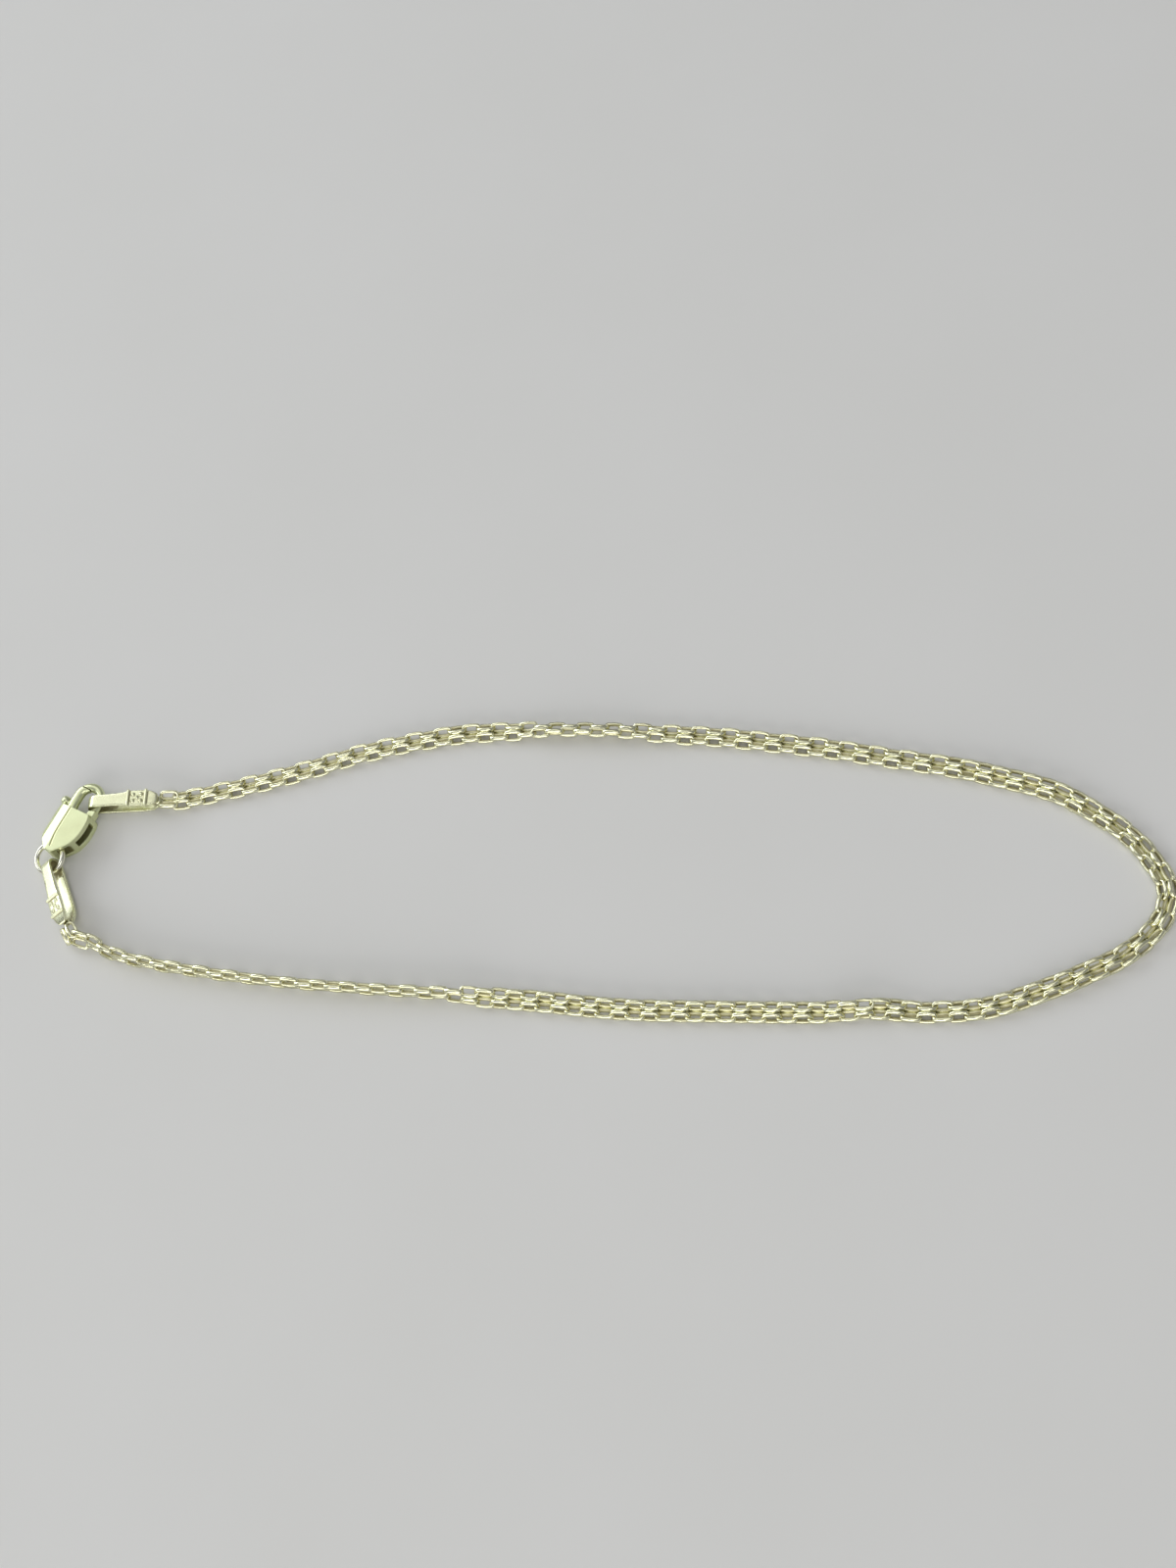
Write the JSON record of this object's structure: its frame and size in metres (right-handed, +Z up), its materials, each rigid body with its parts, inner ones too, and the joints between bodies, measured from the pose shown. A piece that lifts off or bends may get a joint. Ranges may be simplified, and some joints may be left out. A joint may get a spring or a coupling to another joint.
{
  "type": "bismarck chain bracelet",
  "caption": "Gold two-row bismarck chain bracelet, a closed loop with folded strip end tags, a jump ring and a lobster clasp.",
  "frame": {"origin": "bottom centre of the whole bracelet's box, on the table it lies on", "axes": "+X along the loop from the clasp to the far bend, +Y from the near strand to the far strand, +Z up from the table"},
  "size_m": [0.0908, 0.0248, 0.0022],
  "materials": {
    "chain_gold": "bright polished 14 carat yellow gold wire",
    "tag_gold": "polished 14 carat yellow gold strip with light wear",
    "ring_gold": "polished 14 carat yellow gold wire",
    "clasp_gold": "polished 14 carat yellow gold casting with fine scratches",
    "pin_gold": "plain gold rivet"
  },
  "bodies": {
    "bracelet": {"clasp_body": "clasp_gold", "chain": "chain_gold", "end_tag_clasp": "tag_gold", "end_tag_ring": "tag_gold", "jump_ring": "ring_gold", "clasp_pin": "pin_gold"},
    "lever": {"clasp_lever": "clasp_gold"}
  },
  "joints": [
    {"name": "lever_hinge", "type": "hinge", "parent": "bracelet", "child": "lever", "pos_m": [-0.04302, 0.00388, 0.00095], "axis": [0, 0, -1], "range_deg": [0, 15], "stiffness_Nm_per_rad": 0.002, "springref_deg": -17.19}
  ]
}
